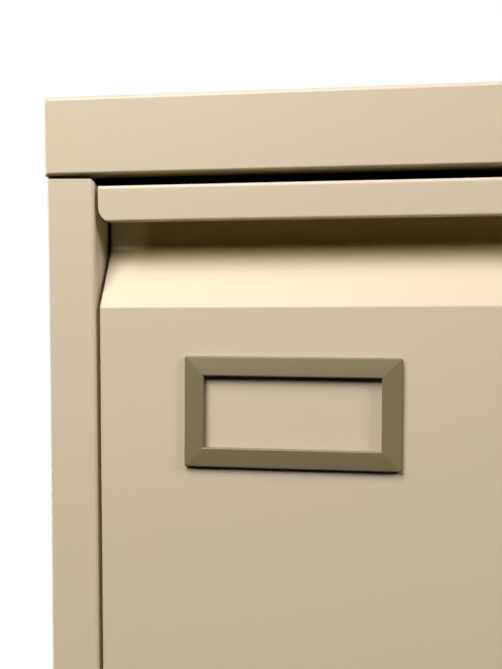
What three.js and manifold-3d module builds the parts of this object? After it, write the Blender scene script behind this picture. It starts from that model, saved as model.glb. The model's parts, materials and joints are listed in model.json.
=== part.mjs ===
// A four-drawer steel filing cabinet with flush fronts and full-width finger pulls.
// Millimetres, +Z up, the front faces -Y. The origin is under the middle of the cabinet, on the floor.
import * as THREE from 'three';
import { mergeVertices } from 'three/addons/utils/BufferGeometryUtils.js';
import Module from 'manifold-3d';

const wasm = await Module();
wasm.setup();

// ---- Driving dimensions ----
const WIDTH = 470;
const BODY_DEPTH = 622;
const HEIGHT = 1321;
const DRAWERS = 4;
const SHEET = 0.8;          // thickness of the folded steel sheet
const HEAVY_SHEET = 1.2;    // thickness of the slides and their uprights
const FIT = 0.3;            // gap between pieces that are welded, screwed or laid together
const BEND = 1.5;           // bend radius, measured at the middle of the sheet

const HEADER_HEIGHT = 36.7;
const HEADER_RETURN = 16;
const SEAM = 1.6;           // gap between the header and the stiles below it
const FACE_SETBACK = 1;     // stiles and drawer fronts stand this far behind the header's face
const STILE_INNER_EDGE = 24.6;  // from the cabinet's outer side
const STILE_RETURN = 23;
const REAR_FLANGE = 20;

const LIP_BELOW_TOP = 42;   // top of the first drawer's lip, below the cabinet's top
const DRAWER_PITCH = 306;
const DRAWER_GAP = 4.5;     // between one front and the next
const DRAWER_INSET = 26.3;  // drawer front's edge, from the cabinet's outer side
const LIP_HEIGHT = 17.2;
const LIP_HEM = 10;         // height of the lip's edge folded back behind itself
const HEM_WIDTH = 2.4;      // from the lip's sheet to its folded edge, middle to middle
const RECESS_DEPTH = 22;
const RECESS_WALL_END = 28.4;   // below the lip's top, where the recess starts to slope forward
const LEDGE = 57;           // below the lip's top, where the slope meets the front face
const FRONT_BOTTOM_FLANGE = 16;

const LABEL_WIDTH = 100;
const LABEL_HEIGHT = 51.5;
const LABEL_BORDER = 9.2;
const LABEL_PROUD = 3.6;    // from the drawer's face to the label frame's highest edge
const LABEL_CENTRE_FROM_SIDE = 117.5;
const LABEL_TOP = 80;       // below the lip's top

const GLIDE_HEIGHT = 8;
const BASE_TOP = 48;
const PLINTH_DEPTH = 22;

const TRAY_HALF_WIDTH = 196;
const TRAY_LENGTH = 560;
const TRAY_TOP = 40;        // below the lip's top
const TRAY_BOTTOM = 288;
const TRAY_BACK_TOP = 60;
const TRAY_BEND = 0.75;
const RAIL_CENTRE = 200;    // below the lip's top
const RAIL_LENGTH = 560;
const RAIL_START = 30;      // behind the header's face
const CATCH_TOP = 100;      // below the lip's top
const CATCH_HEIGHT = 12;
const CATCH_START = 34;

const LOCK_X = 200;
const LOCK_THROW = 12;      // how far the locking bar lifts in a quarter turn
const HOUSING_RADIUS = 9.5;
const BARREL_RADIUS = 7.4;
const BAR_START = 30;       // locking bar's front face, behind the header's face
const BAR_THICKNESS = 2;

// ---- Places worked out from them ----
const HALF = WIDTH / 2;
const SIDE_FACE = HALF - SHEET - FIT;         // outer face of a side panel, under the cap's skirt
const SIDE_INNER = SIDE_FACE - SHEET;
const STILE_EDGE = HALF - STILE_INNER_EDGE;
const DRAWER_HALF = HALF - DRAWER_INSET;
const CAP_BOTTOM = HEIGHT - HEADER_HEIGHT;
const REAR_FACE = BODY_DEPTH - SHEET - FIT;   // outer face of the side panels' rear flanges
const FIRST_LIP = HEIGHT - LIP_BELOW_TOP;
const FRONT_HEIGHT = DRAWER_PITCH - DRAWER_GAP;
const PLINTH_TOP = FIRST_LIP - DRAWERS * DRAWER_PITCH;
const PROUD_OF_HEADER = LABEL_PROUD - FACE_SETBACK;
const FRONT_PLANE = -(BODY_DEPTH - PROUD_OF_HEADER) / 2;   // the header's face, along Y
const LOCK_Z = HEIGHT - HEADER_HEIGHT / 2;
const CAM_RADIUS = LOCK_THROW / Math.SQRT2;   // the cam's pin swings from 45 degrees down to 45 up
const PIN_Z = LOCK_Z - LOCK_THROW / 2;

// ---- Finishes ----
const CREAM_COAT = { color: 0xd5c1a2, roughness: 0.5, metalness: 0.1 };
const KHAKI_PLASTIC = { color: 0x807150, roughness: 0.45, metalness: 0 };
const ZINC_STEEL = { color: 0xb9bcbd, roughness: 0.35, metalness: 0.9 };
const NICKEL = { color: 0xc9c6bf, roughness: 0.2, metalness: 1 };
const BLACK_NYLON = { color: 0x1c1b1a, roughness: 0.6, metalness: 0 };

// ---- Solids ----
// Turns a closed three.js geometry into a solid that can be joined and cut.
function solid(geometry) {
  const bare = geometry.clone();
  bare.deleteAttribute('normal');
  bare.deleteAttribute('uv');
  const merged = mergeVertices(bare, 1e-4);
  return new wasm.Manifold(new wasm.Mesh({
    numProp: 3,
    vertProperties: new Float32Array(merged.attributes.position.array),
    triVerts: new Uint32Array(merged.index.array),
  }));
}

function geometryOf(shape) {
  const mesh = shape.getMesh();
  const geometry = new THREE.BufferGeometry();
  geometry.setAttribute('position', new THREE.BufferAttribute(mesh.vertProperties, 3));
  geometry.setIndex(new THREE.BufferAttribute(mesh.triVerts, 1));
  return geometry;
}

// A plain block between two corners.
function block([x0, y0, z0], [x1, y1, z1]) {
  const geometry = new THREE.BoxGeometry(x1 - x0, y1 - y0, z1 - z0);
  geometry.translate((x0 + x1) / 2, (y0 + y1) / 2, (z0 + z1) / 2);
  return solid(geometry);
}

// A round bar along Y.
function roundBar(radius, x, z, y0, y1, sides = 32) {
  const geometry = new THREE.CylinderGeometry(radius, radius, y1 - y0, sides);
  geometry.translate(x, (y0 + y1) / 2, z);
  return solid(geometry);
}

// The closed outline of a strip of sheet that follows a path through its middle, with round bends.
function foldedOutline(path, thickness = SHEET, bend = BEND, arcSteps = 3) {
  const points = path.map(([u, v]) => new THREE.Vector2(u, v));
  const half = thickness / 2;
  const leftSide = [];
  const rightSide = [];
  const offsetPair = (point, normal) => {
    leftSide.push(point.clone().addScaledVector(normal, half));
    rightSide.push(point.clone().addScaledVector(normal, -half));
  };
  const leftNormal = (from, to) => {
    const direction = to.clone().sub(from).normalize();
    return new THREE.Vector2(-direction.y, direction.x);
  };
  offsetPair(points[0], leftNormal(points[0], points[1]));
  for (let i = 1; i < points.length - 1; i += 1) {
    const before = leftNormal(points[i - 1], points[i]);
    const after = leftNormal(points[i], points[i + 1]);
    const turn = Math.atan2(before.cross(after), before.dot(after));
    const side = Math.sign(turn);
    const halfway = before.clone().add(after).normalize();
    const centre = points[i].clone()
      .addScaledVector(halfway, side * bend / Math.cos(turn / 2));
    for (let step = 0; step <= arcSteps; step += 1) {
      const normal = before.clone().rotateAround(new THREE.Vector2(), turn * step / arcSteps);
      offsetPair(centre.clone().addScaledVector(normal, -side * bend), normal);
    }
  }
  const last = points.length - 1;
  offsetPair(points[last], leftNormal(points[last - 1], points[last]));
  return new THREE.Shape([...leftSide, ...rightSide.reverse()]);
}

function extrude(outline, length) {
  return new THREE.ExtrudeGeometry(outline, { depth: length, bevelEnabled: false });
}

// An outline drawn in (y, z), pulled along X.
function alongX(outline, x0, x1) {
  const turn = new THREE.Matrix4().makeBasis(
    new THREE.Vector3(0, 1, 0), new THREE.Vector3(0, 0, 1), new THREE.Vector3(1, 0, 0));
  return solid(extrude(outline, x1 - x0).applyMatrix4(turn).translate(x0, 0, 0));
}

// An outline drawn in (x, z), pulled along Y.
function alongY(outline, y0, y1) {
  return solid(extrude(outline, y1 - y0).rotateX(Math.PI / 2).translate(0, y1, 0));
}

// An outline drawn in (x, y), pulled along Z.
function alongZ(outline, z0, z1) {
  return solid(extrude(outline, z1 - z0).translate(0, 0, z0));
}

// A rectangular frame with mitred corners. Its section is a loop of [inset, height] points.
function mitredFrame(width, height, section) {
  const vertices = [];
  for (const [inset, proud] of section) {
    const x = width / 2 - inset;
    const z = height / 2 - inset;
    vertices.push(x, -proud, z, -x, -proud, z, -x, -proud, -z, x, -proud, -z);
  }
  const faces = [];
  for (let ring = 0; ring < section.length; ring += 1) {
    const next = (ring + 1) % section.length;
    for (let corner = 0; corner < 4; corner += 1) {
      const beside = (corner + 1) % 4;
      const [a, b] = [4 * ring + corner, 4 * ring + beside];
      const [c, d] = [4 * next + corner, 4 * next + beside];
      faces.push(a, b, c, b, d, c);
    }
  }
  const geometry = new THREE.BufferGeometry();
  geometry.setAttribute('position', new THREE.Float32BufferAttribute(vertices, 3));
  geometry.setIndex(faces);
  return geometry;
}

function piece(name, shape, finish) {
  const geometry = shape.isBufferGeometry ? shape : geometryOf(shape);
  const mesh = new THREE.Mesh(geometry, new THREE.MeshStandardMaterial(finish));
  mesh.name = name;
  return mesh;
}

// ---- Carcass: y is the depth behind the header's face, z the height above the floor ----
function topCap() {
  const middle = SHEET / 2;
  const profile = foldedOutline([
    [HEADER_RETURN, CAP_BOTTOM + middle],
    [middle, CAP_BOTTOM + middle],
    [middle, HEIGHT - middle],
    [BODY_DEPTH - middle, HEIGHT - middle],
    [BODY_DEPTH - middle, CAP_BOTTOM],
  ]);
  let cap = alongX(profile, -HALF, HALF);
  for (const side of [-1, 1]) {
    const outer = side * HALF;
    const inner = side * (HALF - SHEET);
    cap = cap.add(block(
      [Math.min(outer, inner), BEND, CAP_BOTTOM],
      [Math.max(outer, inner), BODY_DEPTH - BEND, HEIGHT - middle]));
    // The header's return stops short of the side panel, which runs up inside the skirt.
    const relief = side * (SIDE_INNER - FIT);
    cap = cap.subtract(block(
      [Math.min(relief, inner), SHEET + 0.1, CAP_BOTTOM - 1],
      [Math.max(relief, inner), HEADER_RETURN + 1, CAP_BOTTOM + BEND + 1]));
  }
  return cap.subtract(roundBar(HOUSING_RADIUS + FIT, LOCK_X, LOCK_Z, -1, 3));
}

function sidePanel(side) {
  const middle = SHEET / 2;
  const sheetX = side * (SIDE_FACE - middle);
  const stileX = side * (STILE_EDGE + middle);
  const stileBack = FACE_SETBACK + STILE_RETURN - middle;
  const profile = foldedOutline([
    [side * (SIDE_FACE - REAR_FLANGE), REAR_FACE - middle],
    [sheetX, REAR_FACE - middle],
    [sheetX, FACE_SETBACK + middle],
    [stileX, FACE_SETBACK + middle],
    [stileX, stileBack],
    [side * (STILE_EDGE + 12), stileBack],
  ]);
  const panel = alongZ(profile, GLIDE_HEIGHT, HEIGHT - SHEET - BEND);
  const innerX = side * (STILE_EDGE - 5);
  const outerX = side * (SIDE_INNER - FIT);
  const notch = block(
    [Math.min(innerX, outerX), -1, CAP_BOTTOM - SEAM],
    [Math.max(innerX, outerX), STILE_RETURN + 5, HEIGHT + 1]);
  return panel.subtract(notch);
}

function backPanel() {
  const front = REAR_FACE - SHEET - FIT - SHEET;
  return block(
    [-(SIDE_INNER - BEND), front, GLIDE_HEIGHT + 2],
    [SIDE_INNER - BEND, front + SHEET, HEIGHT - SHEET - BEND]);
}

const BASE_FRONT = FACE_SETBACK + STILE_RETURN + 2;
const BASE_BACK = REAR_FACE - 2 * (SHEET + FIT) - FIT;
const GLIDE_X = 216;
const GLIDE_INSET = 24;
const GLIDE_STEM = 4;

function basePan() {
  const middle = SHEET / 2;
  const wall = SIDE_INNER - FIT - middle;
  const foot = GLIDE_HEIGHT + middle;
  const profile = foldedOutline([
    [-200, foot],
    [-wall, foot],
    [-wall, BASE_TOP - middle],
    [wall, BASE_TOP - middle],
    [wall, foot],
    [200, foot],
  ]);
  let pan = alongY(profile, BASE_FRONT, BASE_BACK);
  for (const start of [BASE_FRONT, BASE_BACK - SHEET]) {
    pan = pan.add(block(
      [-wall, start, GLIDE_HEIGHT + BEND],
      [wall, start + SHEET, BASE_TOP - middle]));
  }
  for (const x of [-GLIDE_X, GLIDE_X]) {
    for (const y of [BASE_FRONT + GLIDE_INSET, BASE_BACK - GLIDE_INSET]) {
      const hole = new THREE.CylinderGeometry(GLIDE_STEM + FIT, GLIDE_STEM + FIT, 4, 20);
      hole.rotateX(Math.PI / 2);
      hole.translate(x, y, GLIDE_HEIGHT);
      pan = pan.subtract(solid(hole));
    }
  }
  return pan;
}

function glide() {
  const profile = [[0, 0], [13, 0], [15, 1.5], [15, 5], [12, GLIDE_HEIGHT - FIT],
    [GLIDE_STEM, GLIDE_HEIGHT - FIT], [GLIDE_STEM, 14], [0, 14]];
  const geometry = new THREE.LatheGeometry(profile.map(([r, z]) => new THREE.Vector2(r, z)), 28);
  return solid(geometry.rotateX(Math.PI / 2));
}

function plinthRail() {
  const middle = SHEET / 2;
  const face = FACE_SETBACK + middle;
  const back = FACE_SETBACK + PLINTH_DEPTH;
  const profile = foldedOutline([
    [back, PLINTH_TOP - middle],
    [face, PLINTH_TOP - middle],
    [face, GLIDE_HEIGHT + middle],
    [back, GLIDE_HEIGHT + middle],
  ]);
  return alongX(profile, -(STILE_EDGE - FIT), STILE_EDGE - FIT);
}

const TOP_RAIL_FACE = SHEET + FIT;

function topFrontRail() {
  const middle = SHEET / 2;
  const face = TOP_RAIL_FACE + middle;
  const low = CAP_BOTTOM + SHEET + 2;
  const high = HEIGHT - SHEET - 2;
  const profile = foldedOutline([
    [PLINTH_DEPTH, high - middle],
    [face, high - middle],
    [face, low + middle],
    [PLINTH_DEPTH, low + middle],
  ]);
  const rail = alongX(profile, -(SIDE_INNER - 2 * FIT), SIDE_INNER - 2 * FIT);
  return rail.subtract(roundBar(HOUSING_RADIUS + FIT, LOCK_X, LOCK_Z, 0, 5));
}

const RAIL_WEB = STILE_EDGE + FIT + HEAVY_SHEET / 2;        // cabinet rail's web, middle
const UPRIGHT_WEB = RAIL_WEB + HEAVY_SHEET + FIT;           // upright's web, middle
const UPRIGHT_WIDTH = 30;
const UPRIGHT_FOOT = 12;
const UPRIGHT_STARTS = { front: 46, rear: 536 };

function upright(side, start) {
  const web = side * UPRIGHT_WEB;
  const foot = side * (SIDE_INNER - FIT - HEAVY_SHEET / 2);
  const end = start + UPRIGHT_WIDTH;
  const profile = foldedOutline([
    [foot, start - UPRIGHT_FOOT],
    [foot, start],
    [web, start],
    [web, end],
    [foot, end],
    [foot, end + UPRIGHT_FOOT],
  ], HEAVY_SHEET);
  return alongZ(profile, BASE_TOP + FIT, FIRST_LIP);
}

// ---- Slides: three nested channels. Each opens towards the drawer or away from it. ----
const RAIL_SECTIONS = {
  cabinet: { web: RAIL_WEB, edge: 200.5, halfHeight: 21.9 },
  middle: { web: 208.6, edge: 199.5, halfHeight: 17.4 },
  drawer: { web: TRAY_HALF_WIDTH + FIT + HEAVY_SHEET / 2, edge: 206, halfHeight: 12.9 },
};

function slideRail({ web, edge, halfHeight }) {
  const profile = foldedOutline([
    [edge, halfHeight],
    [web, halfHeight],
    [web, -halfHeight],
    [edge, -halfHeight],
  ], HEAVY_SHEET);
  return alongY(profile, 0, RAIL_LENGTH);
}

const RAILS = Object.fromEntries(
  Object.entries(RAIL_SECTIONS).map(([member, section]) => [member, geometryOf(slideRail(section))]));

// The section is the same above and below its middle, so half a turn makes the left-hand rail.
function placeRail(name, member, side, y, z) {
  const rail = piece(name, RAILS[member], ZINC_STEEL);
  if (side === 'left') {
    rail.rotation.y = Math.PI;
  }
  rail.position.set(0, y, z);
  return rail;
}

// ---- Lock ----
function lockHousing() {
  const collar = roundBar(12, LOCK_X, LOCK_Z, -2, -FIT);
  const tube = roundBar(HOUSING_RADIUS, LOCK_X, LOCK_Z, -1, 24);
  return collar.add(tube).subtract(roundBar(BARREL_RADIUS + FIT, LOCK_X, LOCK_Z, -3, 25));
}

function lockNut() {
  const start = TOP_RAIL_FACE + SHEET + FIT;
  return roundBar(13.5, LOCK_X, LOCK_Z, start, start + 4, 6)
    .subtract(roundBar(HOUSING_RADIUS + FIT, LOCK_X, LOCK_Z, 0, 10));
}

const TAIL_HALF = 3;

function lockBarrel() {
  const plug = roundBar(BARREL_RADIUS, LOCK_X, LOCK_Z, -2.3, 24.3);
  const tail = block(
    [LOCK_X - TAIL_HALF, 24, LOCK_Z - TAIL_HALF],
    [LOCK_X + TAIL_HALF, 28.5, LOCK_Z + TAIL_HALF]);
  const keyway = block([LOCK_X - 0.9, -3, LOCK_Z - 4], [LOCK_X + 0.9, 8, LOCK_Z + 4]);
  return plug.add(tail).subtract(keyway);
}

function lockCam() {
  const start = 24.3 + FIT;
  const end = start + 2;
  const pinX = LOCK_X + CAM_RADIUS * Math.SQRT1_2;
  const hub = roundBar(7, LOCK_X, LOCK_Z, start, end);
  const nose = roundBar(4, pinX, PIN_Z, start, end);
  const pin = roundBar(2, pinX, PIN_Z, start, BAR_START + BAR_THICKNESS + 1.5, 16);
  const reach = TAIL_HALF + FIT;
  const hole = block(
    [LOCK_X - reach, start - 1, LOCK_Z - reach],
    [LOCK_X + reach, end + 0.5, LOCK_Z + reach]);
  return hub.add(nose).subtract(hole).add(pin);
}

const BAR_OUTER = 228;
const BAR_INNER = 217;
const TAB_INNER = 200;
const TAB_HEIGHT = 11;
const TAB_TOP = CATCH_TOP + CATCH_HEIGHT + 3;   // clear under the drawer's catch while unlocked

function lockingBar() {
  const plate = (x0, x1, z0, z1) => block(
    [x0, BAR_START, z0], [x1, BAR_START + BAR_THICKNESS, z1]);
  const lowestLip = FIRST_LIP - (DRAWERS - 1) * DRAWER_PITCH;
  let bar = plate(BAR_INNER, BAR_OUTER, lowestLip - TAB_TOP - 30, PIN_Z + 6);
  for (let n = 0; n < DRAWERS; n += 1) {
    const lip = FIRST_LIP - n * DRAWER_PITCH;
    bar = bar.add(plate(TAB_INNER, BAR_INNER + 1, lip - TAB_TOP - TAB_HEIGHT, lip - TAB_TOP));
  }
  const slotHalf = 2 + FIT + 0.2;
  const slot = block([203, 0, PIN_Z - slotHalf], [212, 60, PIN_Z + slotHalf]);
  return bar.add(plate(200, BAR_INNER + 1, PIN_Z - 6, PIN_Z + 6)).subtract(slot);
}

// ---- Drawer: y is the depth behind the header's face, z is measured from the lip's top ----
function drawerFront() {
  const middle = SHEET / 2;
  const face = FACE_SETBACK + middle;
  const wall = FACE_SETBACK + RECESS_DEPTH + middle;
  const bottom = -FRONT_HEIGHT + middle;
  const profile = foldedOutline([
    [face + HEM_WIDTH, -LIP_HEIGHT + LIP_HEM],
    [face + HEM_WIDTH, -LIP_HEIGHT + middle],
    [face, -LIP_HEIGHT + middle],
    [face, -middle],
    [wall, -middle],
    [wall, -RECESS_WALL_END],
    [face, -LEDGE],
    [face, bottom],
    [FACE_SETBACK + FRONT_BOTTOM_FLANGE, bottom],
  ], SHEET, 1.1);
  let front = alongX(profile, -DRAWER_HALF, DRAWER_HALF);
  const cheek = new THREE.Shape([
    new THREE.Vector2(wall, -RECESS_WALL_END - 1),
    new THREE.Vector2(face, -LEDGE - 1),
    new THREE.Vector2(face, bottom + 1),
    new THREE.Vector2(wall + middle, bottom + 1),
    new THREE.Vector2(wall + middle, -RECESS_WALL_END - 1),
  ]);
  for (const start of [-DRAWER_HALF, DRAWER_HALF - SHEET]) {
    front = front.add(alongX(cheek, start, start + SHEET));
  }
  return front;
}

const INNER_FRONT_START = FACE_SETBACK + RECESS_DEPTH + SHEET + FIT;
const TRAY_START = INNER_FRONT_START + SHEET + FIT;

function innerFront() {
  const middle = SHEET / 2;
  const plate = INNER_FRONT_START + middle;
  const profile = foldedOutline([
    [plate + 12, -2],
    [plate, -2],
    [plate, -FRONT_HEIGHT + 2],
  ]);
  let liner = alongX(profile, -(DRAWER_HALF - 2), DRAWER_HALF - 2);
  const tab = TRAY_HALF_WIDTH - SHEET - FIT;
  for (const start of [-tab, tab - SHEET]) {
    liner = liner.add(block(
      [start, plate, -TRAY_BOTTOM + SHEET + 5],
      [start + SHEET, TRAY_START + 14, -TRAY_TOP - 5]));
  }
  return liner;
}

function tray() {
  const middle = SHEET / 2;
  const wall = TRAY_HALF_WIDTH - middle;
  const hem = wall + 2 * TRAY_BEND + 0.1;
  const profile = foldedOutline([
    [hem, -TRAY_TOP - 14],
    [hem, -TRAY_TOP - middle],
    [wall, -TRAY_TOP - middle],
    [wall, -TRAY_BOTTOM + middle],
    [-wall, -TRAY_BOTTOM + middle],
    [-wall, -TRAY_TOP - middle],
    [-hem, -TRAY_TOP - middle],
    [-hem, -TRAY_TOP - 14],
  ], SHEET, TRAY_BEND);
  const end = TRAY_START + TRAY_LENGTH;
  const back = block(
    [-wall, end - SHEET, -TRAY_BOTTOM + middle],
    [wall, end, -TRAY_BACK_TOP]);
  const catchPlate = block(
    [TRAY_HALF_WIDTH - 0.5, CATCH_START, -CATCH_TOP - CATCH_HEIGHT],
    [207.5, CATCH_START + 1.5, -CATCH_TOP]);
  return alongY(profile, TRAY_START, end).add(back).add(catchPlate);
}

// Seen from its side: low outer edge, high inner edge, and a rebate behind it for the card.
function labelFrame() {
  const pocket = 2.2;
  return mitredFrame(LABEL_WIDTH, LABEL_HEIGHT, [
    [0, FIT],
    [0, 1.4],
    [0.5, 1.8],
    [LABEL_BORDER - 0.5, LABEL_PROUD],
    [LABEL_BORDER, LABEL_PROUD - 0.3],
    [LABEL_BORDER, pocket],
    [LABEL_BORDER - 3.5, pocket],
    [LABEL_BORDER - 3.5, FIT],
  ]);
}

// ---- Assembly ----
const carcass = new THREE.Group();
carcass.position.y = FRONT_PLANE;
carcass.add(
  piece('top_cap', topCap(), CREAM_COAT),
  piece('left_side_panel', sidePanel(-1), CREAM_COAT),
  piece('right_side_panel', sidePanel(1), CREAM_COAT),
  piece('back_panel', backPanel(), CREAM_COAT),
  piece('base_pan', basePan(), CREAM_COAT),
  piece('plinth_rail', plinthRail(), CREAM_COAT),
  piece('top_front_rail', topFrontRail(), CREAM_COAT),
  piece('lock_housing', lockHousing(), NICKEL),
  piece('lock_nut', lockNut(), ZINC_STEEL),
  piece('lock_barrel', lockBarrel(), NICKEL),
  piece('lock_cam', lockCam(), ZINC_STEEL),
  piece('locking_bar', lockingBar(), ZINC_STEEL),
);

const SIDES = { left: -1, right: 1 };
const GLIDE_GEOMETRY = geometryOf(glide());
for (const [sideName, side] of Object.entries(SIDES)) {
  for (const [place, start] of Object.entries(UPRIGHT_STARTS)) {
    carcass.add(piece(`${place}_${sideName}_upright`, upright(side, start), ZINC_STEEL));
    const foot = piece(`${place}_${sideName}_glide`, GLIDE_GEOMETRY, BLACK_NYLON);
    const footY = place === 'front' ? BASE_FRONT + GLIDE_INSET : BASE_BACK - GLIDE_INSET;
    foot.position.set(side * GLIDE_X, footY, 0);
    carcass.add(foot);
  }
}

const FRONT_GEOMETRY = geometryOf(drawerFront());
const LINER_GEOMETRY = geometryOf(innerFront());
const TRAY_GEOMETRY = geometryOf(tray());
for (let n = 0; n < DRAWERS; n += 1) {
  const name = `drawer_${n + 1}`;
  const drawer = new THREE.Group();
  drawer.position.z = FIRST_LIP - n * DRAWER_PITCH;
  const label = piece(`${name}_label_frame`, labelFrame(), KHAKI_PLASTIC);
  label.position.set(LABEL_CENTRE_FROM_SIDE - HALF, FACE_SETBACK, -LABEL_TOP - LABEL_HEIGHT / 2);
  drawer.add(
    piece(`${name}_front`, FRONT_GEOMETRY, CREAM_COAT),
    piece(`${name}_inner_front`, LINER_GEOMETRY, CREAM_COAT),
    piece(`${name}_tray`, TRAY_GEOMETRY, CREAM_COAT),
    label,
  );
  for (const sideName of Object.keys(SIDES)) {
    for (const member of Object.keys(RAILS)) {
      const railName = `${name}_${sideName}_${member}_rail`;
      drawer.add(placeRail(railName, member, sideName, RAIL_START, -RAIL_CENTRE));
    }
  }
  carcass.add(drawer);
}

const group = new THREE.Group();
group.add(carcass);
export default group;
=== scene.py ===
# %% [markdown]
# # Finishing a steel filing cabinet in Blender
# The cabinet's frame, its drawers, slides and lock come in as fixed parts, each on its own body.
# This lesson gives them their looks: it folds the visible sheet metal again with fine round bends,
# turns the lock and the glides, adds the balls of the slides, and mixes the paint, plastic and zinc.
# Everything is in metres, with +Z up and the front facing -Y.

# %% Load the frame
import json
import math

import bmesh
import bpy
from mathutils import Matrix, Vector


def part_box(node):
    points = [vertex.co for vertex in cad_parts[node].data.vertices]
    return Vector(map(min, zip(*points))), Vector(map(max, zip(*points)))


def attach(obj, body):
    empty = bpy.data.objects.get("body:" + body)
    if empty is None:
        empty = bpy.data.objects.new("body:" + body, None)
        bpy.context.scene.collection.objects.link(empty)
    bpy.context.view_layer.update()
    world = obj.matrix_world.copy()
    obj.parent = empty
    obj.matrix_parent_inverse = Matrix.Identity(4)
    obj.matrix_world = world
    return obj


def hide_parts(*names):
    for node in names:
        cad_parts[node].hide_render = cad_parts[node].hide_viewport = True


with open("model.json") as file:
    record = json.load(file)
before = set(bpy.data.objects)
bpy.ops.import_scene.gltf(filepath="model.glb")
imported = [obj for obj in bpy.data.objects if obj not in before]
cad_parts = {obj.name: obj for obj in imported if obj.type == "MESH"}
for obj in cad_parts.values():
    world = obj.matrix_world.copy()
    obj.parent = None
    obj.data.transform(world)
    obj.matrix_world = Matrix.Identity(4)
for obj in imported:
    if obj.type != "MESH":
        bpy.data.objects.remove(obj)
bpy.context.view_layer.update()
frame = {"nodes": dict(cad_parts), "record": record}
MM = 0.001
nodes = frame["nodes"]

# %% [markdown]
# ## Where the camera stands
# The view is a close one of the top left corner, from a little to the right of it and just below the
# top edge. A camera's matrix holds its right, up and backward directions as columns, so the
# three small turns (left, down and a slight lean) are worked out first, and then written in.

# %% The camera
cap_low, cap_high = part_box("top_cap")
front_low, front_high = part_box("drawer_1_front")

CAMERA_FROM_LEFT_EDGE = 165.5 * MM
CAMERA_BELOW_TOP = 97.3 * MM
CAMERA_DISTANCE = 454.5 * MM
TURN_LEFT = math.radians(8.362)
TILT_DOWN = math.radians(1.805)
LEAN = math.radians(-0.262)

forward = Vector((-math.sin(TURN_LEFT) * math.cos(TILT_DOWN),
                  math.cos(TURN_LEFT) * math.cos(TILT_DOWN),
                  -math.sin(TILT_DOWN)))
level_right = Vector((math.cos(TURN_LEFT), math.sin(TURN_LEFT), 0))
level_up = level_right.cross(forward)
right = math.cos(LEAN) * level_right + math.sin(LEAN) * level_up
up = math.cos(LEAN) * level_up - math.sin(LEAN) * level_right

camera = bpy.data.objects.new("camera", bpy.data.cameras.new("camera"))
bpy.context.collection.objects.link(camera)
camera.data.sensor_width = 36
camera.data.lens = 53.81
camera.data.clip_start = 0.01
camera.matrix_world = Matrix.Translation((
    cap_low.x + CAMERA_FROM_LEFT_EDGE,
    cap_low.y - CAMERA_DISTANCE,
    cap_high.z - CAMERA_BELOW_TOP,
)) @ Matrix((right, up, -forward)).transposed().to_4x4()
bpy.context.scene.camera = camera
print("camera at", tuple(round(v, 3) for v in camera.matrix_world.translation))

# %% [markdown]
# ## Writing shader maths as sums
# A finish is mostly arithmetic on noise. Wrapping a socket in a small class lets that arithmetic be
# written as Python sums: each operator adds one Math node and gives back its output. Colours go
# through a Mix node, because a Math node would turn them grey.

# %% A socket that can be added and multiplied
class Signal:
    """One output socket. Arithmetic on it adds Math nodes to its tree."""

    def __init__(self, finish, socket):
        self.finish = finish
        self.socket = socket

    def _maths(self, operation, first, second):
        return self.finish.node("ShaderNodeMath", {"operation": operation}, {0: first, 1: second})

    def __add__(self, other):
        return self._maths("ADD", self, other)

    def __mul__(self, other):
        return self._maths("MULTIPLY", self, other)

    __radd__ = __add__
    __rmul__ = __mul__


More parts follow.
